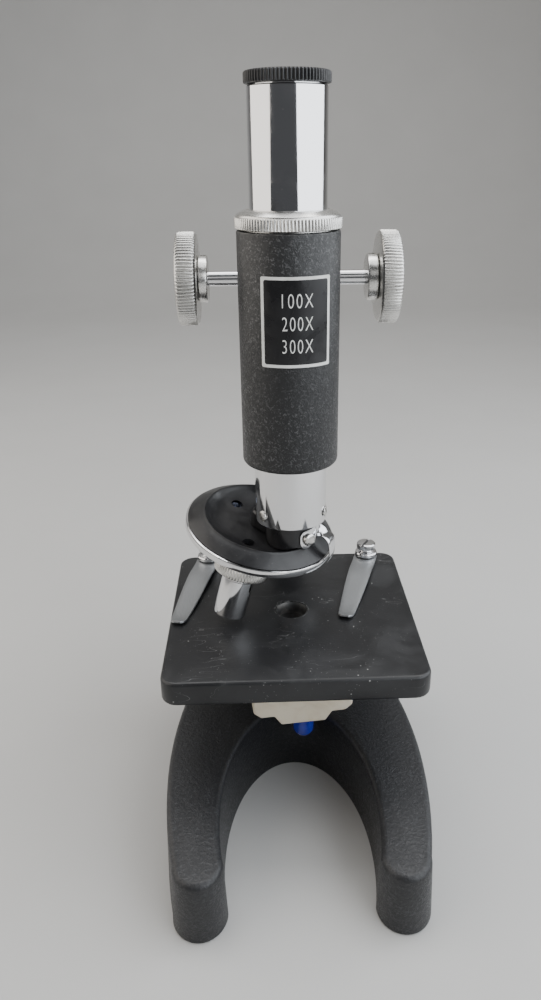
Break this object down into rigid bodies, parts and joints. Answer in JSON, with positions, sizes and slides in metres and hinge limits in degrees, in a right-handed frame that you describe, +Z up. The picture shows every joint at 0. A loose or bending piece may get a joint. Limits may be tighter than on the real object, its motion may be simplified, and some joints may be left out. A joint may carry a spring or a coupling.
{
  "type": "student microscope",
  "caption": "Monocular student microscope with a horseshoe base, tilting limb, square clip stage, objective turret, rack-and-pinion tube and a pivoting mirror-and-bulb unit.",
  "frame": {"origin": "centre of the footprint, on the surface the base stands on", "axes": "+Z up along the tube, +Y to the back where the limb is, -Y to the open end of the horseshoe, +X to the right seen from the front"},
  "size_m": [0.0824, 0.1314, 0.2204],
  "materials": {
    "black_crinkle": "crinkle enamel",
    "satin_black": "satin",
    "gloss_black": "gloss enamel",
    "label_enamel": "gloss, printed",
    "black_plastic": "fluted satin",
    "chrome": "polished",
    "satin_aluminium": "satin, knurled",
    "clip_steel": "satin grey",
    "bright_steel": "bright",
    "cream_plastic": "semi-gloss",
    "blue_glass": "tinted, glossy",
    "lens_glass": "polished",
    "silvered_mirror": "silvered"
  },
  "bodies": {
    "stand": {"base_casting": "black_crinkle", "inclination_pin": "bright_steel", "inclination_nut": "bright_steel"},
    "limb": {"limb_casting": "black_crinkle", "pinion_cover": "black_crinkle", "cover_screw_lower": "bright_steel", "cover_screw_upper": "bright_steel", "body_tube": "black_crinkle", "guide_bush": "satin_aluminium", "label_plate": "label_enamel", "top_collar": "satin_aluminium", "stage_plate": "satin_black", "stage_screw_left": "bright_steel", "stage_screw_right": "bright_steel", "aperture_ring": "satin_aluminium", "clip_post_left": "chrome", "clip_post_right": "chrome", "lamp_swivel_screw": "bright_steel"},
    "focus": {"focus_shaft": "chrome", "focus_pinion": "bright_steel", "knob_wheel_left": "satin_aluminium", "knob_wheel_right": "satin_aluminium", "knob_hub_left": "satin_aluminium", "knob_hub_right": "satin_aluminium", "knob_set_screw_left": "bright_steel", "knob_set_screw_right": "bright_steel"},
    "tube": {"main_tube": "chrome", "focus_rack": "bright_steel", "nosepiece_boss": "satin_black", "nosepiece_screw_left": "bright_steel", "nosepiece_screw_right": "bright_steel", "turret_pivot_screw": "bright_steel", "click_spring": "chrome", "click_spring_screw": "chrome"},
    "turret": {"turret_cone": "gloss_black", "turret_rim": "chrome", "objective_barrel_300x": "chrome", "objective_ring_300x": "satin_aluminium", "objective_lens_300x": "lens_glass", "objective_barrel_100x": "chrome", "objective_ring_100x": "satin_aluminium", "objective_lens_100x": "lens_glass", "objective_barrel_200x": "chrome", "objective_ring_200x": "satin_aluminium", "objective_lens_200x": "lens_glass"},
    "eyepiece": {"eyepiece_cap": "black_plastic", "eyepiece_barrel": "chrome", "eye_lens": "lens_glass", "field_lens": "lens_glass"},
    "clip_left": {"clip_leaf_left": "clip_steel"},
    "clip_right": {"clip_leaf_right": "clip_steel"},
    "lamp_yoke": {"lamp_yoke": "bright_steel"},
    "lamp": {"lamp_housing": "cream_plastic", "lamp_mirror": "silvered_mirror", "lamp_bulb": "blue_glass", "lamp_pin_left": "bright_steel", "lamp_pin_right": "bright_steel"}
  },
  "joints": [
    {"name": "inclination", "type": "hinge", "parent": "stand", "child": "limb", "pos_m": [0, 0.05665, 0.04], "axis": [-1, 0, 0], "range_deg": [0, 45]},
    {"name": "focus_turn", "type": "hinge", "parent": "limb", "child": "focus", "pos_m": [0, 0.02465, 0.1668], "axis": [-1, 0, 0], "range_deg": [-3.5, 280]},
    {"name": "tube_slide", "type": "slide", "parent": "limb", "child": "tube", "axis": [0, 0, 1], "range_m": [-0.00018, 0.0146]},
    {"name": "turret_turn", "type": "hinge", "parent": "tube", "child": "turret", "pos_m": [-0.01014, 0.01755, 0.0865], "axis": [0.2062, -0.1606, 0.9652], "continuous": true},
    {"name": "eyepiece_pull", "type": "slide", "parent": "tube", "child": "eyepiece", "axis": [0, 0, 1], "range_m": [0, 0.03]},
    {"name": "clip_left_swing", "type": "hinge", "parent": "limb", "child": "clip_left", "pos_m": [-0.0293, 0.04485, 0.061], "axis": [0, 0, 1], "range_deg": [-30, 10]},
    {"name": "clip_right_swing", "type": "hinge", "parent": "limb", "child": "clip_right", "pos_m": [0.0293, 0.04485, 0.061], "axis": [0, 0, 1], "range_deg": [-10, 50]},
    {"name": "lamp_swivel", "type": "hinge", "parent": "limb", "child": "lamp_yoke", "pos_m": [0.002, -0.00185, 0.0386], "axis": [0, 0, 1], "range_deg": [-25, 12]},
    {"name": "lamp_tilt", "type": "hinge", "parent": "lamp_yoke", "child": "lamp", "pos_m": [0.002, -0.00185, 0.0386], "axis": [0.9936, 0.1132, 0], "range_deg": [-50, 6]}
  ],
  "couplings": [
    {"joint": "focus_turn", "follows": "tube_slide", "rad_per_m": 333.33}
  ]
}
